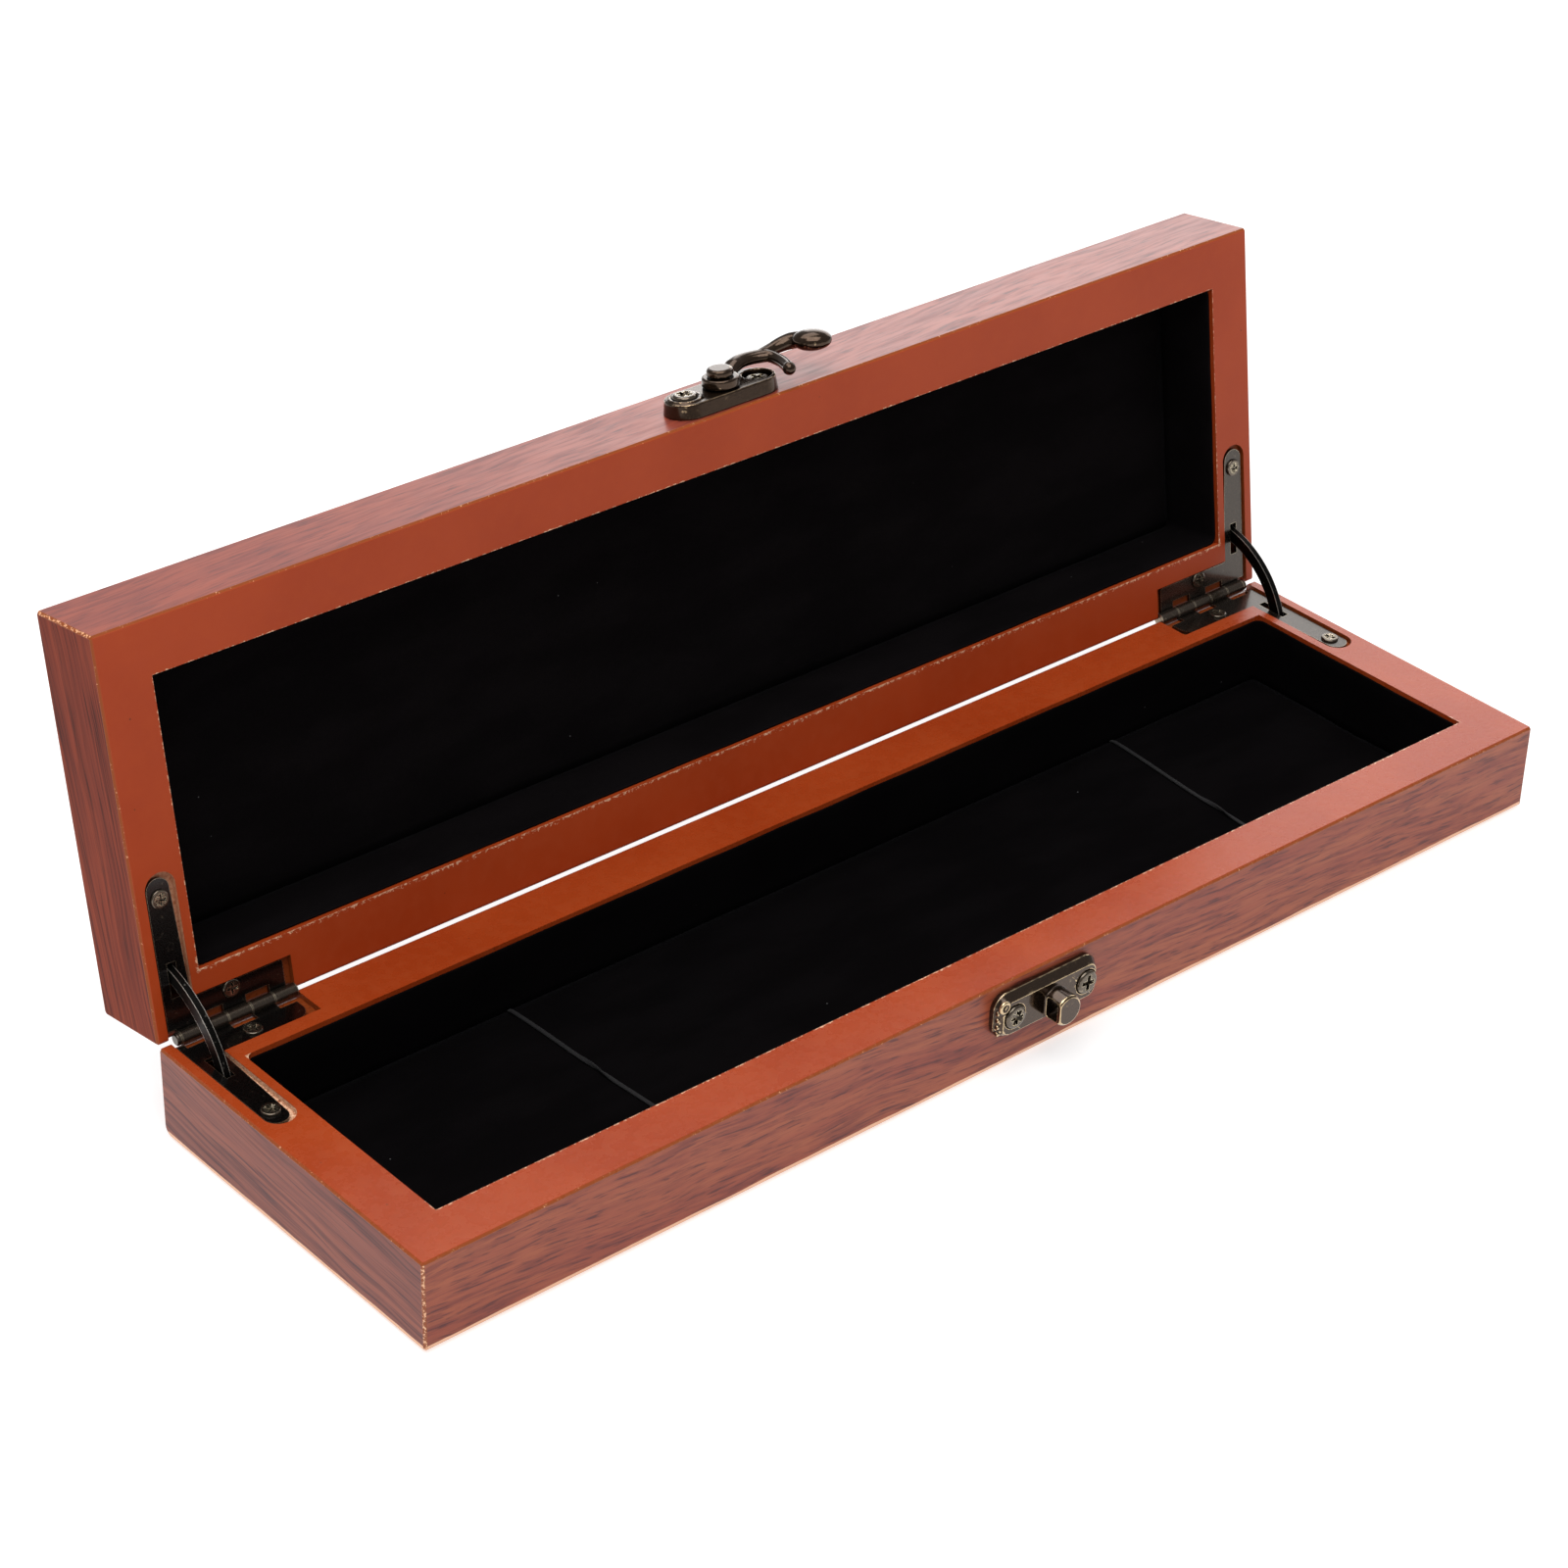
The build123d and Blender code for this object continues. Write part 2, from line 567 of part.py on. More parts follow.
os.makedirs("parts", exist_ok=True)
for build in (build_base, build_lid, build_hinges):
    for node, shape in build().items():
        save(node, shape)
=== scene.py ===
import math

import bmesh
import bpy
from mathutils import Matrix, Quaternion, Vector, noise


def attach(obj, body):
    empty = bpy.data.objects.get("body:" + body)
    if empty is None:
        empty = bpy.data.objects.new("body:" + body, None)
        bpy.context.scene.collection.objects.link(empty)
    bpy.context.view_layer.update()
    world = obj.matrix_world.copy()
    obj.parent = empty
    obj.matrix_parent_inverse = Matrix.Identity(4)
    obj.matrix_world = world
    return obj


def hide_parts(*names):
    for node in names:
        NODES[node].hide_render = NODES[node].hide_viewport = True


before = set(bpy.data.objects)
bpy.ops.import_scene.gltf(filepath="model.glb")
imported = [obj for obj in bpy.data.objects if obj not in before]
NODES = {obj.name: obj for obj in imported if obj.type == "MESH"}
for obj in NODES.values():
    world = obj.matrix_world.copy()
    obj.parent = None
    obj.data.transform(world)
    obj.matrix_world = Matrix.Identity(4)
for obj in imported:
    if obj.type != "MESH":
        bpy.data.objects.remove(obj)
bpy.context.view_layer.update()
MM = 0.001

# Places in the case, in millimetres. A half's depth is measured from its rim into the wood.
HINGE = (0.0, 32.85, 15.55)
OPEN = math.radians(98.6)
RIM = {"base": 15.5, "lid": 15.6}
HEIGHT = {"base": 15.5, "lid": 14.8}
PAD_TOP = {"base": 12.3, "lid": 12.2}
FLOOR = {"base": 13.2, "lid": 12.8}
HALF_LENGTH = 115.0
WOOD_FRONT = -32.0
WOOD_BACK = 32.85
CAVITY = (106.4, 23.4)


# --- Camera ------------------------------------------------------------------------
CAMERA_PLACE = (-0.3580, -0.3802, 0.3539)
CAMERA_TURN = (0.826735, 0.438801, -0.179961, -0.302618)


def make_camera():
    data = bpy.data.cameras.new("camera")
    data.sensor_width = 36.0
    data.lens = 91.046
    data.shift_x = -0.0387
    data.shift_y = 0.0769
    data.clip_start = 0.01
    camera = bpy.data.objects.new("camera", data)
    bpy.context.scene.collection.objects.link(camera)
    turn = Quaternion(CAMERA_TURN)
    camera.matrix_world = Matrix.Translation(CAMERA_PLACE) @ turn.to_matrix().to_4x4()
    bpy.context.scene.camera = camera


# --- Materials: a small helper that builds node trees -----------------------------------
class Tree:
    """One material's nodes. A socket or a plain number is accepted wherever a value goes."""

    def __init__(self, name):
        self.material = bpy.data.materials.new(name)
        self.material.use_nodes = True
        self.tree = self.material.node_tree
        self.tree.nodes.clear()
        out = self.tree.nodes.new("ShaderNodeOutputMaterial")
        self.shader = self.tree.nodes.new("ShaderNodeBsdfPrincipled")
        self.tree.links.new(self.shader.outputs[0], out.inputs[0])

    def put(self, socket, value):
        if isinstance(value, bpy.types.NodeSocket):
            self.tree.links.new(value, socket)
        else:
            socket.default_value = value

    def node(self, kind, inputs=(), **settings):
        made = self.tree.nodes.new("ShaderNode" + kind)
        for name, value in settings.items():
            setattr(made, name, value)
        for key, value in dict(inputs).items():
            self.put(made.inputs[key], value)
        return made

    def math(self, operation, *values):
        made = self.node("Math", enumerate(values), operation=operation)
        return made.outputs[0]

    def vector(self, operation, *values):
        made = self.node("VectorMath", enumerate(values), operation=operation)
        return made.outputs[0]

    def combine(self, x, y, z):
        return self.node("CombineXYZ", {0: x, 1: y, 2: z}).outputs[0]

    def split(self, vector):
        return self.node("SeparateXYZ", {0: vector}).outputs

    def ramp(self, value, low, high, out_low=0.0, out_high=1.0):
        """value from low..high mapped smoothly to out_low..out_high."""
        inputs = {0: value, 1: low, 2: high, 3: out_low, 4: out_high}
        return self.node("MapRange", inputs, interpolation_type="SMOOTHSTEP").outputs[0]

    def mix(self, factor, first, second, blend="MIX"):
        made = self.node("Mix", data_type="RGBA", blend_type=blend)
        self.put(made.inputs[0], factor)
        self.put(made.inputs[6], first)
        self.put(made.inputs[7], second)
        return made.outputs[2]

    def noise(self, vector, scale=1.0, detail=2.0, rough=0.5, distortion=0.0):
        inputs = {"Vector": vector, "Scale": scale, "Detail": detail}
        inputs.update({"Roughness": rough, "Distortion": distortion})
        return self.node("TexNoise", inputs).outputs[0]

    def voronoi(self, vector, scale):
        """The distance to the nearest of a set of scattered points, for specks."""
        return self.node("TexVoronoi", {"Vector": vector, "Scale": scale}).outputs[0]

    def bump(self, height, strength, distance):
        inputs = {"Strength": strength, "Distance": distance, "Height": height}
        self.put(self.shader.inputs["Normal"], self.node("Bump", inputs).outputs[0])

    def finish(self, **values):
        """Sets the shader's inputs; underscores in a name stand for spaces."""
        for name, value in values.items():
            self.put(self.shader.inputs[name.replace("_", " ")], value)
        return self.material


def colour(red, green, blue):
    """An sRGB colour from 0 to 255 as linear RGBA."""

    def linear(value):
        return ((value / 255 + 0.055) / 1.055) ** 2.4 if value > 10 else value / 3294.6

    return (linear(red), linear(green), linear(blue), 1.0)


def half_coordinates(tree, half):
    """A point's x, y and depth under its half's rim, in millimetres."""
    place = tree.node("TexCoord").outputs["Object"]
    if half == "lid":
        centre = tuple(v * MM for v in HINGE)
        inputs = {"Vector": place, "Center": centre, "Angle": OPEN}
        place = tree.node("VectorRotate", inputs, rotation_type="X_AXIS").outputs[0]
    scaled = tree.vector("MULTIPLY", place, (1000.0, 1000.0, 1000.0))
    x, y, z = tree.split(scaled)
    if half == "base":
        depth = tree.math("SUBTRACT", RIM["base"], z)
    else:
        depth = tree.math("SUBTRACT", z, RIM["lid"])
    return x, y, depth


def half_normal(tree, half):
    """The flat face's normal in half coordinates; its third part is 1 on the rim."""
    normal = tree.node("TexCoord").outputs["Normal"]
    if half == "lid":
        inputs = {"Vector": normal, "Center": (0.0, 0.0, 0.0), "Angle": OPEN}
        normal = tree.node("VectorRotate", inputs, rotation_type="X_AXIS").outputs[0]
    x, y, z = tree.split(normal)
    if half == "lid":
        z = tree.math("MULTIPLY", z, -1.0)
    return x, y, z


# for each half: two paint tones and its spots, then its specular level and roughness range
PAINT = {
    "base": ((0.35, 0.042, 0.0060, 1.0), (0.40, 0.056, 0.0100, 1.0), (0.44, 0.088, 0.024, 1.0)),
    "lid": ((0.37, 0.043, 0.0060, 1.0), (0.41, 0.052, 0.0090, 1.0), (0.43, 0.075, 0.020, 1.0)),
}
POLISH = {"base": (0.5, 0.25, 0.30), "lid": (0.22, 0.36, 0.46)}
# how far the torn fibres reach over the rim, in millimetres, and their share on the tidy sides
FRINGE = {"base": (0.4, 0.0), "lid": (0.8, 0.3)}
# the hinge mortises start at this x either side; the wood in them is raw up to this y
MORTISE_START = 89.0
RAW_END = 26.0


def painted_board(half):
    """Orange-brown paint on fibreboard, raw at some edges and beside the left hinge's leaves."""
    t = Tree("painted_board_" + half)
    x, y, depth = half_coordinates(t, half)
    normal_up = half_normal(t, half)[2]
    place = t.combine(x, y, depth)
    broad = t.noise(place, 0.035, 3.0)
    mottle = t.noise(place, 0.45, 4.0, 0.6)
    fine = t.noise(place, 6.0, 3.0, 0.65)
    low, high, spots = PAINT[half]
    paint = t.mix(t.ramp(broad, 0.35, 0.65), low, high)
    paint = t.mix(t.ramp(mottle, 0.4, 0.75, 0.0, 0.2), paint, spots)
    paint = t.mix(t.ramp(fine, 0.6, 0.8, 0.0, 0.08), paint, (0.50, 0.12, 0.04, 1.0))
    specks = t.voronoi(place, 0.16)
    paint = t.mix(t.ramp(specks, 0.03, 0.02, 0.0, 0.7), paint, colour(70, 34, 20))

    # how far a point is from the outer edge and from the cavity's edge, seen from above
    across_x = t.math("ABSOLUTE", x)
    across_y = t.math("ABSOLUTE", y)
    to_end = t.math("SUBTRACT", HALF_LENGTH, across_x)
    to_front = t.math("ADD", y, -WOOD_FRONT)
    to_side = t.math("MINIMUM", to_front, t.math("SUBTRACT", WOOD_BACK, y))
    from_outside = t.math("MINIMUM", to_end, to_side)
    from_corner = t.math("MAXIMUM", to_end, to_side)
    inside_x = t.math("SUBTRACT", across_x, CAVITY[0])
    inside_y = t.math("SUBTRACT", across_y, CAVITY[1])
    from_cavity = t.math("MAXIMUM", inside_x, inside_y)

    # raw fibreboard: pale, with short fibres
    fibres = t.noise(t.vector("MULTIPLY", place, (2.0, 2.0, 5.0)), 1.0, 5.0, 0.7)
    raw = t.mix(t.ramp(fibres, 0.32, 0.62), colour(176, 100, 62), colour(246, 204, 170))

    # the thin paint along the outer edges: a few chips on top, many on the upright corners
    chips = t.noise(place, 2.2, 4.0, 0.7)
    edge_zone = t.ramp(from_outside, 0.4, 0.15)
    corner_zone = t.ramp(from_corner, 0.5, 0.25)
    chipped = t.math("ADD", chips, t.math("MULTIPLY", corner_zone, 0.12))
    edge_colour = t.mix(t.ramp(chipped, 0.62, 0.68), colour(146, 70, 26), colour(240, 184, 142))
    result = t.mix(edge_zone, paint, edge_colour)

    # a pale band round the lowest edge of the base, bare board and partly a painted reflection of the
    # bright floor; the lid's far edges lightly chipped
    low_zone = t.ramp(depth, HEIGHT[half] - 0.7, HEIGHT[half] - 0.5)
    far_colour = colour(232, 172, 138) if half == "base" else edge_colour
    result = t.mix(low_zone, result, far_colour)

    # a ragged pale fringe of fibres along the cavity's edge, longest on one side
    rag = t.noise(t.vector("MULTIPLY", place, (1.3, 1.3, 1.3)), 1.0, 5.0, 0.75)
    ragged_side = t.ramp(y, -20.0, -22.0) if half == "base" else t.ramp(y, 20.0, 22.0)
    longest, elsewhere = FRINGE[half]
    share = t.math("MULTIPLY_ADD", ragged_side, 1.0 - elsewhere, elsewhere)
    reach = t.math("MULTIPLY", t.ramp(rag, 0.42, 0.68, 0.0, longest), share)
    fringe = t.ramp(t.math("SUBTRACT", from_cavity, reach), 0.0, -0.08)
    result = t.mix(t.math("MULTIPLY", fringe, t.ramp(normal_up, 0.5, 0.9)), result, raw)

    # raw board beside the left hinge's long legs; the rest of the mortises was painted over
    at_hinges = t.ramp(across_x, MORTISE_START, MORTISE_START + 1.0)
    hinge_zone = t.math("MULTIPLY", at_hinges, t.ramp(from_cavity, 0.4, 0.6))
    hinge_zone = t.math("MULTIPLY", hinge_zone, t.ramp(from_outside, 0.5, 0.7))
    sunk = t.math("MULTIPLY", hinge_zone, t.ramp(depth, 0.05, 0.12))
    crumbs = t.ramp(t.noise(place, 2.4, 3.0, 0.6), 0.56, 0.66)
    dirt, dull = {"base": (0.7, 0.0), "lid": (0.7, 0.65)}[half]
    bare = t.mix(t.math("MULTIPLY", crumbs, dirt), raw, colour(120, 62, 36))
    bare = t.mix(dull, bare, colour(160, 92, 58))
    coated = t.mix(crumbs, colour(138, 62, 24), colour(108, 44, 16))
    beside_barrel = t.ramp(y, RAW_END, RAW_END + 0.4)
    painted_over = t.math("MAXIMUM", t.ramp(x, -1.0, 1.0), beside_barrel)
    result = t.mix(sunk, result, t.mix(painted_over, bare, coated))

    height = t.math("ADD", t.math("MULTIPLY", fine, 0.25), t.math("MULTIPLY", mottle, 0.6))
    height = t.math("ADD", height, t.math("MULTIPLY", t.math("ADD", sunk, fringe), fibres))
    t.bump(height, 0.3, 0.0001)
    gloss, smooth, rough = POLISH[half]
    roughness = t.ramp(mottle, 0.3, 0.7, smooth, rough)
    return t.finish(Base_Color=result, Roughness=roughness, Specular_IOR_Level=gloss)


# the index of refraction of the two ends that the photograph shows, and of all other veneer
END_INDEX = {"lid_left": 1.28, "base_left": 1.4}
VENEER_INDEX = 1.5


def grained(name, half, along, tones, gloss, seed):
    """Printed wood grain: soft bands and short dark pores, a little aslant to the edges."""
    t = Tree("veneer_" + name)
    x, y, depth = half_coordinates(t, half)
    side = t.math("ADD", y, depth)
    lengthways, across, slant = {"x": (x, side, -0.07), "y": (y, depth, 0.08)}[along]
    across = t.math("MULTIPLY_ADD", lengthways, slant, across)
    flow = t.combine(t.math("MULTIPLY", lengthways, 0.02), t.math("MULTIPLY", across, 0.05), seed)
    drift = t.math("MULTIPLY", t.math("SUBTRACT", t.noise(flow, 1.0, 2.0), 0.5), 7.0)
    across = t.math("ADD", across, drift)

    def streaks(length, width, shift, detail=3.0, rough=0.6):
        """Noise stretched along the grain; length and width are its size in millimetres."""
        long_way = t.math("DIVIDE", lengthways, length)
        short_way = t.math("DIVIDE", across, width)
        return t.noise(t.combine(long_way, short_way, seed + shift), 1.0, detail, rough)

    stretch, fineness = (1.0, 1.0) if along == "x" else (2.4, 0.75)
    bands = streaks(50.0 * stretch, 4.0, 1.0)
    figure = streaks(11.0 * stretch, 1.1 * fineness, 7.0, 4.0)
    pores = streaks(4.6 * stretch, 0.42 * fineness, 13.0, 2.0, 0.5)
    hairs = streaks(14.0 * stretch, 0.2, 19.0, 2.0, 0.5)
    place = t.combine(t.math("MULTIPLY", x, 0.06), t.math("MULTIPLY", across, 0.12), seed + 5)
    patch = t.noise(place, 1.0, 3.0)
    light, middle, dark, pore = tones
    result = t.mix(t.ramp(bands, 0.35, 0.65), middle, light)
    result = t.mix(t.ramp(figure, 0.42, 0.62, 0.0, 0.7), result, dark)
    result = t.mix(t.ramp(patch, 0.42, 0.7, 0.0, 0.45), result, light)
    gate = t.ramp(figure, 0.4, 0.6, 0.25, 1.0)
    result = t.mix(t.math("MULTIPLY", t.ramp(pores, 0.53, 0.64, 0.0, 0.85), gate), result, pore)
    result = t.mix(t.ramp(hairs, 0.52, 0.68, 0.0, 0.25), result, pore)
    specks = t.voronoi(t.combine(x, y, depth), 0.09)
    result = t.mix(t.ramp(specks, 0.018, 0.012, 0.0, 0.8), result, colour(46, 26, 22))
    # the base's lowest edge: a pale band, bare board and partly a painted reflection of the bright
    # floor
    if half == "base":
        waver = t.noise(t.combine(x, y, 0.0), 0.08, 4.0, 0.6)
        pale_band_depth = t.math("MULTIPLY_ADD", waver, -0.6, HEIGHT[half] - 0.6)
        bare = t.ramp(t.math("SUBTRACT", depth, pale_band_depth), -0.04, 0.04)
        result = t.mix(bare, result, colour(248, 194, 158))
    t.bump(t.math("SUBTRACT", bands, t.math("MULTIPLY", pores, 0.5)), 0.12, 0.00006)
    roughness = t.ramp(figure, 0.3, 0.7, 0.30, 0.40)
    index = END_INDEX.get(name, VENEER_INDEX)
    return t.finish(Base_Color=result, Roughness=roughness, Specular_IOR_Level=gloss, IOR=index)


# the velvet's darkest tone in each half
NAP = {"base": (0.0026, 0.0022, 0.0024), "lid": (0.0046, 0.0038, 0.0041)}


def velvet(name, half):
    """Black velvet: a short pile that lies in soft patches, with a little lint."""
    t = Tree("velvet_" + name)
    x, y, depth = half_coordinates(t, half)
    place = t.combine(x, y, depth)
    pile = t.noise(place, 7.0, 4.0, 0.7)
    brushed = t.noise(t.vector("MULTIPLY", place, (0.05, 0.12, 0.1)), 1.0, 3.0)
    nap = NAP[half]
    raised_nap = tuple(1.35 * tint for tint in nap)
    base = t.mix(t.ramp(brushed, 0.35, 0.65), (*nap, 1.0), (*raised_nap, 1.0))
    lint = t.voronoi(place, 0.16)
    mask = t.ramp(lint, 0.022, 0.012, 0.0, 0.35)
    base = t.mix(mask, base, (0.30, 0.30, 0.30, 1.0))
    t.bump(pile, 0.6, 0.00015)
    return t.finish(
        Base_Color=base,
        Roughness=0.95,
        Specular_IOR_Level=0.0,
        Sheen_Weight=0.012,
        Sheen_Roughness=0.4,
        Sheen_Tint=(0.6, 0.6, 0.65, 1.0),
    )


# ribs in half a turn round a band, and threads along it
RIBS = 5.0
THREADS = 150.0


def elastic_weave():
    """Near-black woven elastic: ribs along the band, threads across it and a few pale glints."""
    t = Tree("elastic")
    uv = t.node("TexCoord").outputs["UV"]
    u, v, _ = t.split(uv)
    ribs = t.math("SINE", t.math("MULTIPLY", u, 2 * math.pi * RIBS))
    threads = t.math("SINE", t.math("MULTIPLY", v, 2 * math.pi * THREADS))
    weave = t.math("MULTIPLY", ribs, threads)
    tone = t.mix(t.ramp(weave, -0.8, 0.8), (0.004, 0.004, 0.0045, 1.0), (0.016, 0.015, 0.016, 1.0))
    glint = t.noise(t.combine(t.math("MULTIPLY", u, 3.0), t.math("MULTIPLY", v, 60.0), 0.0), 1.0, 2.0)
    tone = t.mix(t.ramp(glint, 0.74, 0.8, 0.0, 0.6), tone, (0.5, 0.5, 0.5, 1.0))
    t.bump(weave, 0.5, 0.00008)
    return t.finish(Base_Color=tone, Roughness=0.75, Specular_IOR_Level=0.2, Sheen_Weight=0.05)


# the pointiness at which wear starts and is full, for pieces with a dense mesh
SHARPNESS = {"catch": (0.504, 0.53), "latch": (0.51, 0.56), "arm": (0.54, 0.62)}
# distances from the hinge's axis where the knuckles' lighter tint, a painted highlight, starts and is
# full
BARREL_EDGE = (1.25, 1.12)
# the barrels' outer ends along the case, and the length of one knuckle
BARREL_END = 111.4
KNUCKLE = 4.08


def bronze(name, dark, worn, wear=0.5, polish=(0.2, 0.34), coat=0.5):
    """Dark antique bronze: edges rubbed brighter, a painted highlight on hinge knuckles, painted
    shade and patina in crevices.
    """
    t = Tree("bronze_" + name)
    place = t.vector("MULTIPLY", t.node("TexCoord").outputs["Object"], (1000.0, 1000.0, 1000.0))
    surface = t.node("NewGeometry").outputs
    if name in SHARPNESS:
        edge = t.ramp(surface["Pointiness"], *SHARPNESS[name])
    else:
        bevel = t.node("Bevel", {"Radius": 0.0002}, samples=6).outputs[0]
        inputs = {0: bevel, 1: surface["Normal"]}
        turn = t.node("VectorMath", inputs, operation="DOT_PRODUCT").outputs["Value"]
        edge = t.ramp(turn, 0.99, 0.90)
    patina = t.noise(place, 0.8, 5.0, 0.65)
    grit = t.noise(place, 7.0, 4.0, 0.7)
    rubbed = t.ramp(t.math("ADD", t.math("MULTIPLY", edge, 0.5), patina), 0.6, 0.9)
    lighter = (*(2.0 * tint for tint in dark), 1.0)
    result = t.mix(t.ramp(grit, 0.4, 0.7), (*dark, 1.0), lighter)
    # painted highlight: the hinge knuckles and pins get a lighter bronze than their leaves
    from_hinge = t.vector("SUBTRACT", place, (0.0, HINGE[1], HINGE[2]))
    from_hinge = t.vector("MULTIPLY", from_hinge, (0.0, 1.0, 1.0))
    radius = t.node("VectorMath", {0: from_hinge}, operation="LENGTH").outputs["Value"]
    barrel_highlight = t.ramp(radius, *BARREL_EDGE, 0.0, 0.8)
    result = t.mix(barrel_highlight, result, (0.085, 0.062, 0.044, 1.0))
    along = t.math("ABSOLUTE", t.split(place)[0])
    knuckle = t.math("DIVIDE", t.math("SUBTRACT", BARREL_END, along), KNUCKLE)
    within = t.math("FRACT", t.math("ADD", knuckle, 0.5))
    from_joint = t.math("ABSOLUTE", t.math("SUBTRACT", within, 0.5))
    knuckle_ring = t.math("MULTIPLY", barrel_highlight, t.ramp(from_joint, 0.055, 0.035))
    rubbed = t.math("MAXIMUM", rubbed, knuckle_ring)
    result = t.mix(t.math("MULTIPLY", rubbed, wear), result, (*worn, 1.0))
    # painted shade: where ambient occlusion finds a crevice the colour goes near black, standing also
    # for patina there
    painted_crevice_shade = t.node("AmbientOcclusion", {"Distance": 0.0007}, samples=6).outputs["AO"]
    result = t.mix(t.ramp(painted_crevice_shade, 0.35, 0.8), (0.006, 0.005, 0.004, 1.0), result)
    t.bump(t.math("ADD", patina, t.math("MULTIPLY", grit, 0.25)), 0.15, 0.0001)
    roughness = t.ramp(grit, 0.3, 0.7, *polish)
    lacquer = {"Coat_Weight": coat, "Coat_Roughness": 0.1}
    return t.finish(Base_Color=result, Roughness=roughness, Metallic=0.9, **lacquer)


def clad(node, material):
    """Gives a CAD node its material."""
    mesh = NODES[node].data
    mesh.materials.clear()
    mesh.materials.append(material)


# --- Meshes ------------------------------------------------------------------------
def to_world(half, x, y, depth):
    """From half coordinates in millimetres to the case at rest, in metres."""
    if half == "base":
        return Vector((x, y, RIM["base"] - depth)) * MM
    dy = y - HINGE[1]
    dz = RIM["lid"] + depth - HINGE[2]
    y = HINGE[1] + dy * math.cos(OPEN) + dz * math.sin(OPEN)
    z = HINGE[2] - dy * math.sin(OPEN) + dz * math.cos(OPEN)
    return Vector((x, y, z)) * MM


def make_object(name, vertices, faces, body, material):
    """A smooth-shaded piece that rides a body."""
    mesh = bpy.data.meshes.new(name)
    mesh.from_pydata([tuple(v) for v in vertices], [], faces)
    mesh.validate()
    mesh.materials.append(material)
    made = bpy.data.objects.new(name, mesh)
    bpy.context.scene.collection.objects.link(made)
    for polygon in mesh.polygons:
        polygon.use_smooth = True
    outward(made)
    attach(made, body)
    return made


def outward(item):
    """Turns every face outward."""
    work = bmesh.new()
    work.from_mesh(item.data)
    bmesh.ops.recalc_face_normals(work, faces=work.faces)
    work.to_mesh(item.data)
    work.free()


def rounded_rectangle(half_x, half_y, radius, step):
    """Points round a rounded rectangle, in order, about step apart."""
    points = []
    corners = ((1, 1, 0), (-1, 1, 90), (-1, -1, 180), (1, -1, 270))
    for index, (side_x, side_y, start) in enumerate(corners):
        centre = Vector((side_x * (half_x - radius), side_y * (half_y - radius)))
        for piece in range(7):
            angle = math.radians(start + 15 * piece)
            points.append(centre + radius * Vector((math.cos(angle), math.sin(angle))))
        next_x, next_y, next_start = corners[(index + 1) % 4]
        goal = Vector((next_x * (half_x - radius), next_y * (half_y - radius)))
        angle = math.radians(next_start)
        goal = goal + radius * Vector((math.cos(angle), math.sin(angle)))
        first = points[-1]
        count = max(1, int((goal - first).length / step))
        points.extend(first.lerp(goal, k / count) for k in range(1, count))
    return points


def wall_lining(half):
    """A velvet-covered card strip standing round the cavity, its top edge folded over."""
    top = 0.7
    bottom = FLOOR[half] - 0.02
    fold = ((0.0, top + 0.25), (0.07, top + 0.08), (0.25, top), (0.43, top + 0.08), (0.5, top + 0.25))
    face = tuple((0.5, top + 0.25 + (bottom - top - 0.25) * k / 6) for k in range(1, 7))
    profile = ((0.0, bottom), *fold, *face)
    outer = rounded_rectangle(*CAVITY, radius=1.5, step=2.0)
    vertices, faces = [], []
    count, size = len(outer), len(profile)
    for index, point in enumerate(outer):
        before, after = outer[index - 1], outer[(index + 1) % count]
        along = (after - before).normalized()
        inward = Vector((-along.y, along.x))
        for out, depth in profile:
            sway = noise.noise(Vector((point.x * 0.06, point.y * 0.06, depth * 0.1 + 3))) * 0.09
            lift = noise.noise(Vector((point.x * 0.11, point.y * 0.11, 9.0))) * 0.10
            out = out * (1 - 0.12) + (sway if out > 0.01 else 0.0)
            spot = point + inward * max(out, 0.0)
            rise = lift if depth < top + 0.5 else 0.0
            vertices.append(to_world(half, spot.x, spot.y, depth + rise))
        here, there = index * size, (index + 1) % count * size
        for k in range(size):
            after_k = (k + 1) % size
            faces.append((here + k, here + after_k, there + after_k, there + k))
    cloth = velvet(half + "_wall", half)
    made = make_object(half + "_wall_velvet", vertices, faces, half, cloth)
    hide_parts(half + "_wall_lining")


# half the length and half the width of the floor pads
PAD_SIZE = (105.95, 22.95)


def floor_pad(half):
    """A thin velvet-covered pad: cloth filled a little by pressure, its underside pinned."""
    half_x, half_y = PAD_SIZE
    step = 1.6
    count_x, count_y = int(2 * half_x / step), int(2 * half_y / step)
    thick = (FLOOR[half] - PAD_TOP[half]) * 0.8
    vertices, faces = [], []

    def corner_round(x, y):
        radius = 1.0
        over_x, over_y = abs(x) - (half_x - radius), abs(y) - (half_y - radius)
        if over_x > 0 and over_y > 0:
            length = math.hypot(over_x, over_y)
            if length > radius:
                x = math.copysign(half_x - radius + over_x * radius / length, x)
                y = math.copysign(half_y - radius + over_y * radius / length, y)
        return x, y

    for level in (0.0, thick):
        for j in range(count_y + 1):
            for i in range(count_x + 1):
                x = -half_x + 2 * half_x * i / count_x
                y = -half_y + 2 * half_y * j / count_y
                x, y = corner_round(x, y)
                vertices.append(to_world(half, x, y, FLOOR[half] - level))
    stride = count_x + 1
    layer = stride * (count_y + 1)
    for j in range(count_y):
        for i in range(count_x):
            a = j * stride + i
            faces.append((a, a + 1, a + stride + 1, a + stride))
            faces.append(tuple(layer + v for v in (a, a + stride, a + stride + 1, a + 1)))
    rim = list(range(count_x))
    rim += [j * stride + count_x for j in range(count_y)]
    rim += [count_y * stride + i for i in range(count_x, 0, -1)]
    rim += [j * stride for j in range(count_y, 0, -1)]
    for a, b in zip(rim, rim[1:] + rim[:1]):
        faces.append((a, b, layer + b, layer + a))
    cloth = velvet(half + "_floor", half)
    made = make_object(half + "_floor_velvet", vertices, faces, half, cloth)
    swell(made, half, layer)
    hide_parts(half + "_floor_pad")


CLOTH_FRAMES = 20


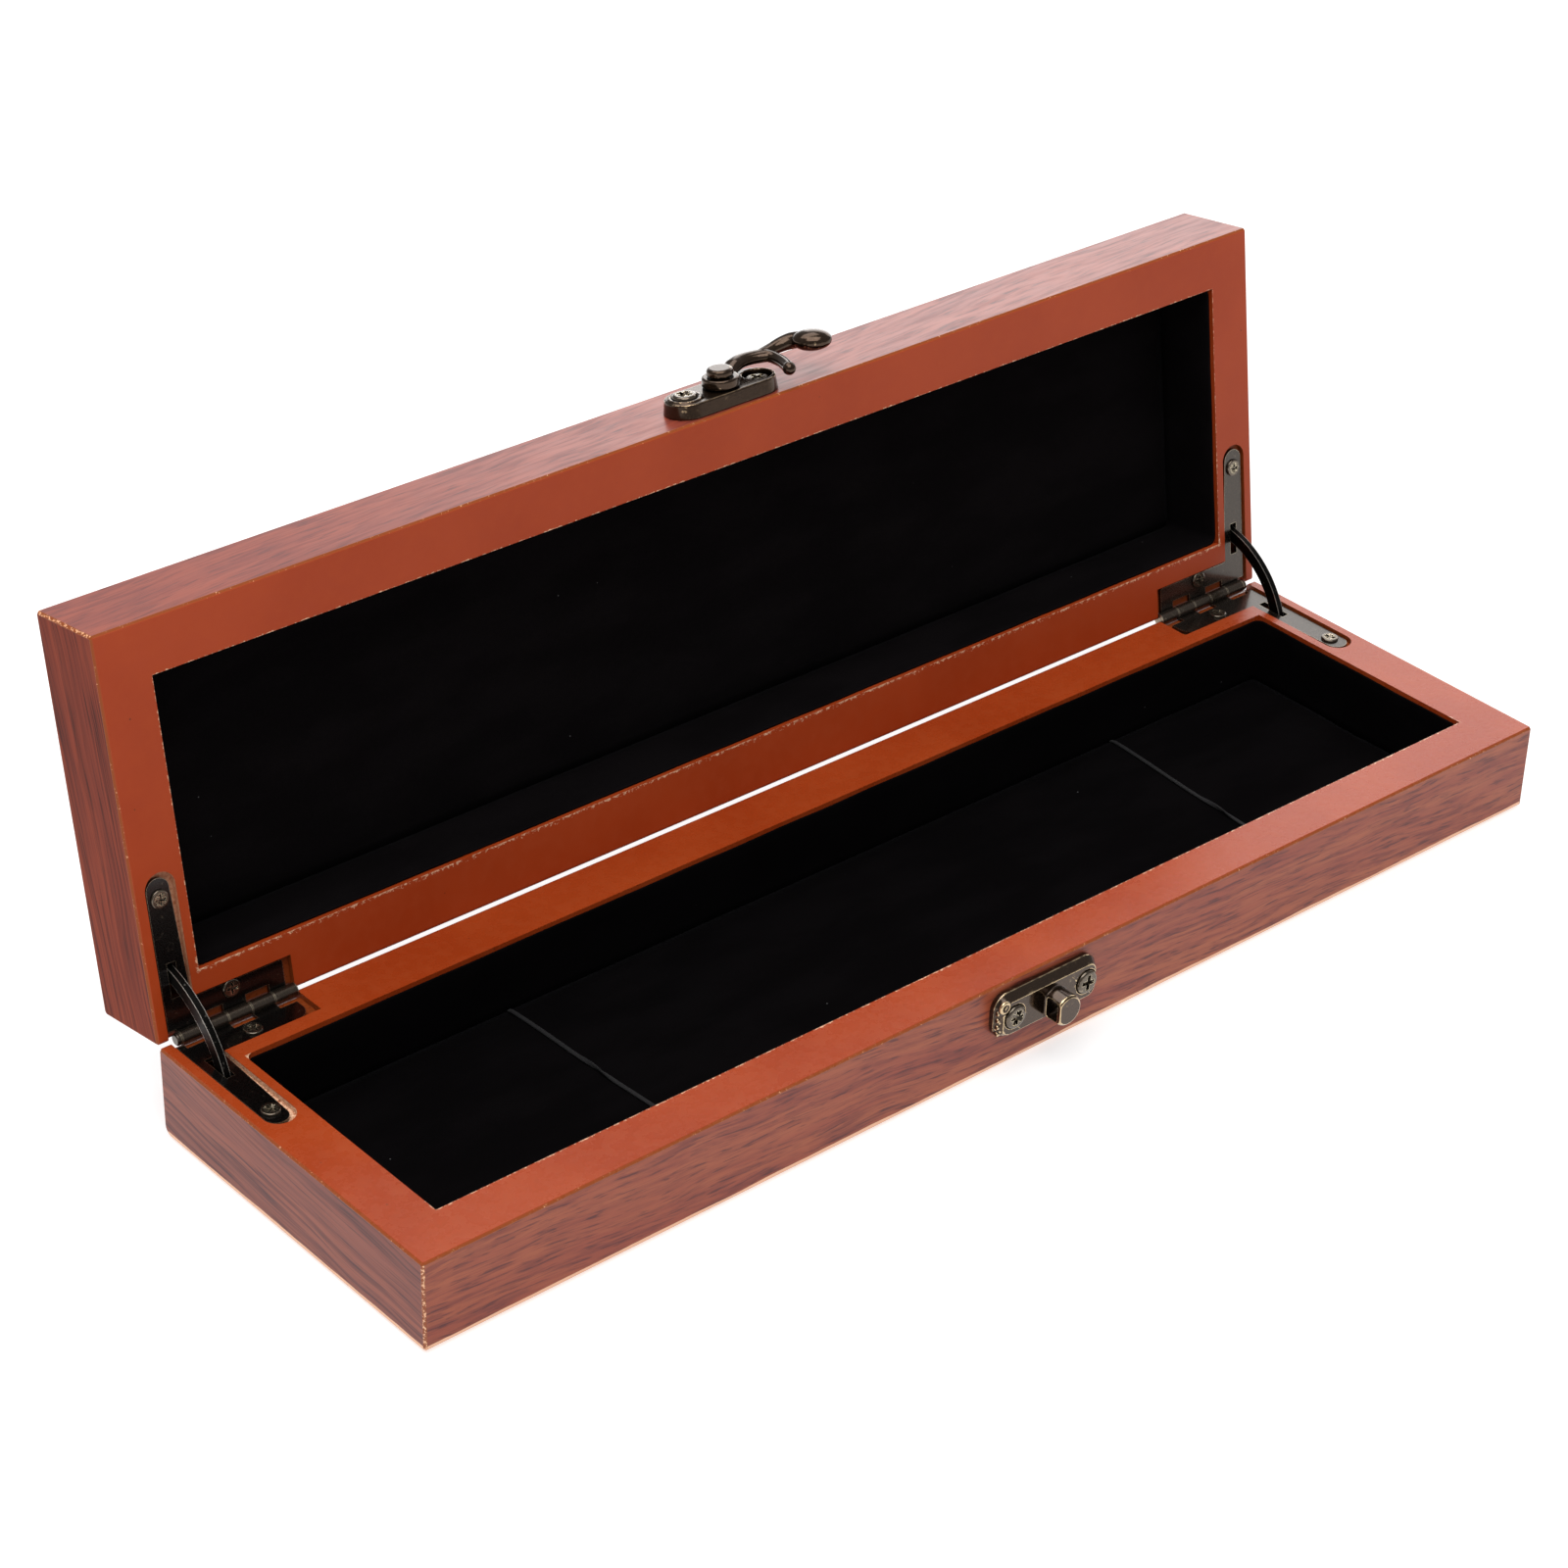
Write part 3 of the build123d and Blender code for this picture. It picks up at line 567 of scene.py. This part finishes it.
def swell(item, half, layer):
    """Runs cloth with a little pressure, keeps the underside still and caps the movement."""
    rest = [v.co.copy() for v in item.data.vertices]
    pinned = item.vertex_groups.new(name="pinned")
    pinned.add(list(range(layer)), 1.0, "REPLACE")
    cloth = item.modifiers.new("cloth", "CLOTH")
    settings = cloth.settings
    settings.vertex_group_mass = "pinned"
    settings.use_pressure = True
    settings.uniform_pressure_force = 1.5
    settings.effector_weights.gravity = 0.0
    settings.shrink_min = -0.01
    settings.quality = 6
    cloth.point_cache.frame_start = 1
    cloth.point_cache.frame_end = CLOTH_FRAMES
    scene = bpy.context.scene
    for number in range(1, CLOTH_FRAMES + 1):
        scene.frame_set(number)
    shaped = item.evaluated_get(bpy.context.evaluated_depsgraph_get()).to_mesh()
    moved = [v.co.copy() for v in shaped.vertices]
    item.modifiers.remove(cloth)
    scene.frame_set(1)
    up = (to_world(half, 0, 0, 0) - to_world(half, 0, 0, 1)).normalized()
    cap = (FLOOR[half] - PAD_TOP[half]) * 0.22 * MM
    for vertex, start, end in zip(item.data.vertices, rest, moved):
        rise = max(-cap, min(cap, (end - start).dot(up)))
        vertex.co = start + up * rise
    item.data.update()


def elastic_band(side, x_back, x_front, phase):
    """A flat elastic pulled across the base, with a half twist in it."""
    width, thick = 0.7, 0.3
    reach = 22.8
    count = 120
    ring = 8
    surface = RIM["base"] - PAD_TOP["base"]
    vertices, faces = [], []
    for index in range(count + 1):
        share = index / count
        y = reach - 2 * reach * share
        turn = math.pi * twist_share(share, phase)
        lift = 0.5 * (width * abs(math.sin(turn)) + thick * abs(math.cos(turn))) + 0.14
        dip = 0.25 * max(0.0, 1 - min(share, 1 - share) / 0.02)
        x = x_back + (x_front - x_back) * share + 0.12 * math.sin(share * 9.0 + phase)
        centre = Vector((x, y, surface + lift - dip))
        flat = Vector((math.cos(turn), 0, math.sin(turn)))
        up = Vector((-math.sin(turn), 0, math.cos(turn)))
        for corner in range(ring):
            angle = 2 * math.pi * (corner + 0.5) / ring
            sideways = flat * width / 2 * squared(math.cos(angle))
            upward = up * thick / 2 * squared(math.sin(angle))
            vertices.append((centre + (sideways + upward)) * MM)
    for index in range(count):
        for corner in range(ring):
            a, b = index * ring + corner, index * ring + (corner + 1) % ring
            faces.append((a, b, b + ring, a + ring))
    faces.append(tuple(range(ring)))
    faces.append(tuple(count * ring + k for k in reversed(range(ring))))
    made = make_object("elastic_" + side, vertices, faces, "base", ELASTIC)
    layer = made.data.uv_layers.new(name="UVMap")
    for polygon in made.data.polygons:
        for loop in polygon.loop_indices:
            vertex = made.data.loops[loop].vertex_index
            layer.data[loop].uv = ((vertex % ring) / ring * 2, vertex // ring / count)
    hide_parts("pen_elastic_" + side)


def twist_share(share, phase):
    """0 before the twist and 1 after it, turning smoothly over a short stretch."""
    t = (share - phase) / 0.22 + 0.5
    t = max(0.0, min(1.0, t))
    return t * t * (3 - 2 * t)


def squared(value):
    """Pushes a cosine towards a flat band's corners."""
    return math.copysign(abs(value) ** 0.35, value)


# --- Cast pieces ---------------------------------------------------------------------
def bake_modifiers(item):
    """Replaces a piece's mesh with the mesh that its modifiers make."""
    shaped = item.evaluated_get(bpy.context.evaluated_depsgraph_get())
    mesh = bpy.data.meshes.new_from_object(shaped)
    item.modifiers.clear()
    item.data = mesh


# the latch's pivot at rest, the direction of its pin, and how far out its eye ends and its
# knob starts
PIVOT = Vector((2.4, 47.145, 78.976)) * MM
PIVOT_AXIS = Vector((0.0, 0.149535, 0.988756))
EYE_END = 3.4
KNOB_START = 13.0


def thicken(item, centre, axis, amount):
    """Swells a turning piece beyond its eye: a little along the arm, more at the knob."""
    group = item.vertex_groups.new(name="thick")
    for vertex in item.data.vertices:
        arm = vertex.co - centre
        reach = (arm - axis * arm.dot(axis)).length / MM
        along_arm = max(0.0, min(1.0, (reach - EYE_END) / 2.0))
        at_knob = max(0.0, min(1.0, (reach - KNOB_START) / 3.0))
        group.add([vertex.index], 0.45 * along_arm + 0.55 * at_knob, "REPLACE")
    swelling = item.modifiers.new("thick", "DISPLACE")
    swelling.vertex_group = "thick"
    swelling.mid_level = 0.0
    swelling.strength = amount * MM


def cast(node, body, voxel, relax, material):
    """A finer copy of a CAD node, with its edges melted together as in a casting."""
    made = bpy.data.objects.new(node + "_cast", NODES[node].data.copy())
    bpy.context.scene.collection.objects.link(made)
    remesh = made.modifiers.new("remesh", "REMESH")
    remesh.mode = "VOXEL"
    remesh.voxel_size = voxel * MM
    soften = made.modifiers.new("soften", "SMOOTH")
    soften.factor = 0.5
    soften.iterations = relax
    bake_modifiers(made)
    if node == "latch_arm":
        thicken(made, PIVOT, PIVOT_AXIS, 0.5)
        bake_modifiers(made)
        made.vertex_groups.clear()
    mesh = made.data
    mesh.materials.clear()
    mesh.materials.append(material)
    for polygon in mesh.polygons:
        polygon.use_smooth = True
    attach(made, body)
    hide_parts(node)


BOX_FACES = ((0, 3, 2, 1), (4, 5, 6, 7), (0, 1, 5, 4), (1, 2, 6, 5), (2, 3, 7, 6), (3, 0, 4, 7))


def recessed_screws(node, body, places, sizes, sideways):
    """A copy of a group of screws, with a cross cut in each head; sideways ones face front."""
    radius, height = sizes
    vertices, faces = [], []
    for index, (x, across, top) in enumerate(places):
        for quarter in (0.0, 0.5 * math.pi):
            angle = 0.6 + 1.1 * index + quarter
            for level in (0, 1):
                for u, v in ((-1, -1), (1, -1), (1, 1), (-1, 1)):
                    shrink = 1.0 if level else 0.62
                    u, v = 0.66 * radius * u * shrink, 0.18 * radius * v * shrink
                    dx = u * math.cos(angle) - v * math.sin(angle)
                    dy = u * math.sin(angle) + v * math.cos(angle)
                    out = top + (height if level else 0.25 * height)
                    if sideways:
                        vertices.append(to_world(body, x + dx, -out, across + dy))
                    else:
                        vertices.append(to_world(body, x + dx, across + dy, -out))
            base = len(vertices) - 8
            faces.extend(tuple(base + k for k in face) for face in BOX_FACES)
    cutter = bpy.data.meshes.new(node + "_recess")
    cutter.from_pydata([tuple(v) for v in vertices], [], faces)
    tool = bpy.data.objects.new(node + "_recess", cutter)
    outward(tool)
    made = bpy.data.objects.new(node + "_cut", NODES[node].data.copy())
    for item in (made, tool):
        bpy.context.scene.collection.objects.link(item)
    carve = made.modifiers.new("recess", "BOOLEAN")
    carve.operation = "DIFFERENCE"
    carve.solver = "EXACT"
    carve.use_self = True
    carve.object = tool
    bake_modifiers(made)
    bpy.data.objects.remove(tool)
    mesh = made.data
    mesh.materials.clear()
    mesh.materials.append(SCREW)
    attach(made, body)
    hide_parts(node)


# --- Light and floor -------------------------------------------------------------------
def studio():
    mesh = bpy.data.meshes.new("studio_floor")
    size = 4.0
    under = -0.0003
    sides = ((-1, -1), (1, -1), (1, 1), (-1, 1))
    corners = [(size * x, size * y, under) for x, y in sides]
    mesh.from_pydata(corners, [], [(0, 1, 2, 3)])
    floor = bpy.data.objects.new("studio_floor", mesh)
    bpy.context.scene.collection.objects.link(floor)
    t = Tree("studio_floor")
    white = (1.0, 1.0, 1.0, 1.0)
    plain = {"Roughness": 0.9, "Specular_IOR_Level": 0.1}
    glow = {"Emission_Color": white, "Emission_Strength": 0.62}
    mesh.materials.append(t.finish(Base_Color=(0.5, 0.5, 0.5, 1.0), **plain, **glow))

    world = bpy.data.worlds.new("studio")
    world.use_nodes = True
    background = world.node_tree.nodes["Background"]
    background.inputs[0].default_value = (1.0, 1.0, 1.0, 1.0)
    background.inputs[1].default_value = 0.3
    bpy.context.scene.world = world

    softbox("overhead", (-0.5, -0.5, 2.2), 2.0, 2.0, 42.0)
    softbox("key", (0.0, 1.0, 1.9), 2.2, 1.0, 18.0)
    softbox("behind", (1.8, 1.1, 0.72), 2.2, 1.3, 18.0)
    softbox("horizon", (1.3, 1.9, 0.25), 2.6, 0.5, 5.0)
    bpy.context.scene.view_settings.view_transform = "Standard"


def softbox(name, place, width, height, power):
    """A rectangular light that faces the case."""
    data = bpy.data.lights.new(name, "AREA")
    data.shape = "RECTANGLE"
    data.size = width
    data.size_y = height
    data.energy = power
    light = bpy.data.objects.new(name, data)
    bpy.context.scene.collection.objects.link(light)
    light.location = place
    light.rotation_euler = (-Vector(place)).to_track_quat("-Z", "Y").to_euler()
    light.visible_camera = False


# --- The whole case --------------------------------------------------------------------
make_camera()
studio()

# veneer: light, middle, dark and pore tones, then the specular level
TONES = {
    "base_front": (((166, 86, 56), (150, 68, 48), (110, 44, 40), (84, 34, 36)), 0.36),
    "lid_front": (((154, 70, 50), (138, 60, 46), (112, 46, 42), (92, 40, 38)), 0.38),
    "base_end": (((150, 76, 56), (128, 62, 50), (88, 38, 38), (68, 30, 34)), 0.42),
    "lid_end": (((142, 58, 34), (124, 48, 30), (86, 34, 26), (66, 26, 22)), 0.1),
    "top": (((156, 86, 62), (140, 74, 56), (108, 58, 52), (82, 44, 42)), 0.34),
}
for HALF in ("base", "lid"):
    clad(HALF + "_shell", painted_board(HALF))
    for NUMBER, (SIDE, ALONG, TONE) in enumerate(
        (
            ("front", "x", HALF + "_front"),
            ("back", "x", HALF + "_front"),
            ("bottom" if HALF == "base" else "top", "x", "top"),
            ("left", "y", HALF + "_end"),
            ("right", "y", HALF + "_end"),
        )
    ):
        SEED = 3.7 * NUMBER + (0.0 if HALF == "base" else 31.0)
        SHADES, GLOSS = TONES[TONE]
        SHADES = [colour(*shade) for shade in SHADES]
        VENEER = grained(f"{HALF}_{SIDE}", HALF, ALONG, SHADES, GLOSS, SEED)
        clad(f"{HALF}_veneer_{SIDE}", VENEER)
    wall_lining(HALF)
    floor_pad(HALF)

ELASTIC = elastic_weave()
elastic_band("left", -59.1, -57.0, 0.45)
elastic_band("right", 70.6, 68.0, 0.6)

# fittings; the right hinge's leaves get a lighter, browner copy of the leaf bronze, a painted
# reflection of glare
BROWN = (0.042, 0.025, 0.015)
LEAF_DARK = bronze("leaf_dark", (0.012, 0.010, 0.009), (0.60, 0.50, 0.36), wear=0.55)
LEAF_PAINTED_GLARE = bronze("leaf_painted_glare", (0.040, 0.031, 0.024), (0.60, 0.50, 0.36), wear=0.6)
CATCH = bronze("catch", BROWN, (0.78, 0.58, 0.34), wear=0.8, polish=(0.12, 0.24))
LATCH = bronze("latch", BROWN, (0.60, 0.42, 0.25), wear=0.6, polish=(0.12, 0.24), coat=0.25)
ARM = bronze("arm", BROWN, (0.50, 0.36, 0.22), wear=0.5, polish=(0.1, 0.2), coat=0.25)
SCREW = bronze("screw", (0.09, 0.07, 0.05), (0.80, 0.68, 0.48), wear=0.9, polish=(0.12, 0.24))
# painted highlight: the stay's pale worn colour stands in for the bright light along its edges
STAY_BLACK, STAY_EDGE_HIGHLIGHT = (0.004, 0.0036, 0.0032), (0.85, 0.80, 0.72)
STAY = bronze("stay", STAY_BLACK, STAY_EDGE_HIGHLIGHT, wear=0.9, polish=(0.3, 0.4), coat=0.0)

# a screw head's radius and height
HINGE_SCREW = (1.5, 0.4)
FITTING_SCREW = (2.0, 0.8)
# a head's place: x, then y in a leaf or depth on the front, then how far out its seat is
LEAF_SCREWS = ((-110.7, 10.4, -0.45), (-101.4, 28.6, -0.45))
CATCH_SCREWS = ((-6.2, 5.3, 33.9), (8.8, 5.3, 33.9))
LATCH_SCREWS = ((-4.9, 4.6, 34.4), (9.7, 4.6, 33.1))
for SIDE, SIGN in (("left", 1), ("right", -1)):
    for HALF in ("base", "lid"):
        PLACES = tuple((SIGN * x, y, seat) for x, y, seat in LEAF_SCREWS)
        recessed_screws(f"{SIDE}_{HALF}_leaf_screws", HALF, PLACES, HINGE_SCREW, False)
recessed_screws("catch_screws", "base", CATCH_SCREWS, FITTING_SCREW, True)
recessed_screws("latch_screws", "lid", LATCH_SCREWS, FITTING_SCREW, True)

for NODE in NODES:
    if NODE.endswith("_screws"):
        clad(NODE, SCREW)
    elif NODE.endswith("_stay"):
        clad(NODE, STAY)
    elif NODE.endswith(("_leaf", "_pin")):
        clad(NODE, LEAF_DARK if NODE.startswith("left") else LEAF_PAINTED_GLARE)
    elif NODE.startswith(("latch_", "catch_")):
        clad(NODE, LATCH)
cast("latch_arm", "latch_arm", 0.13, 4, ARM)
cast("latch_plate", "lid", 0.13, 3, LATCH)
cast("catch_plate", "base", 0.12, 2, CATCH)
cast("latch_rivet", "lid", 0.13, 3, LATCH)
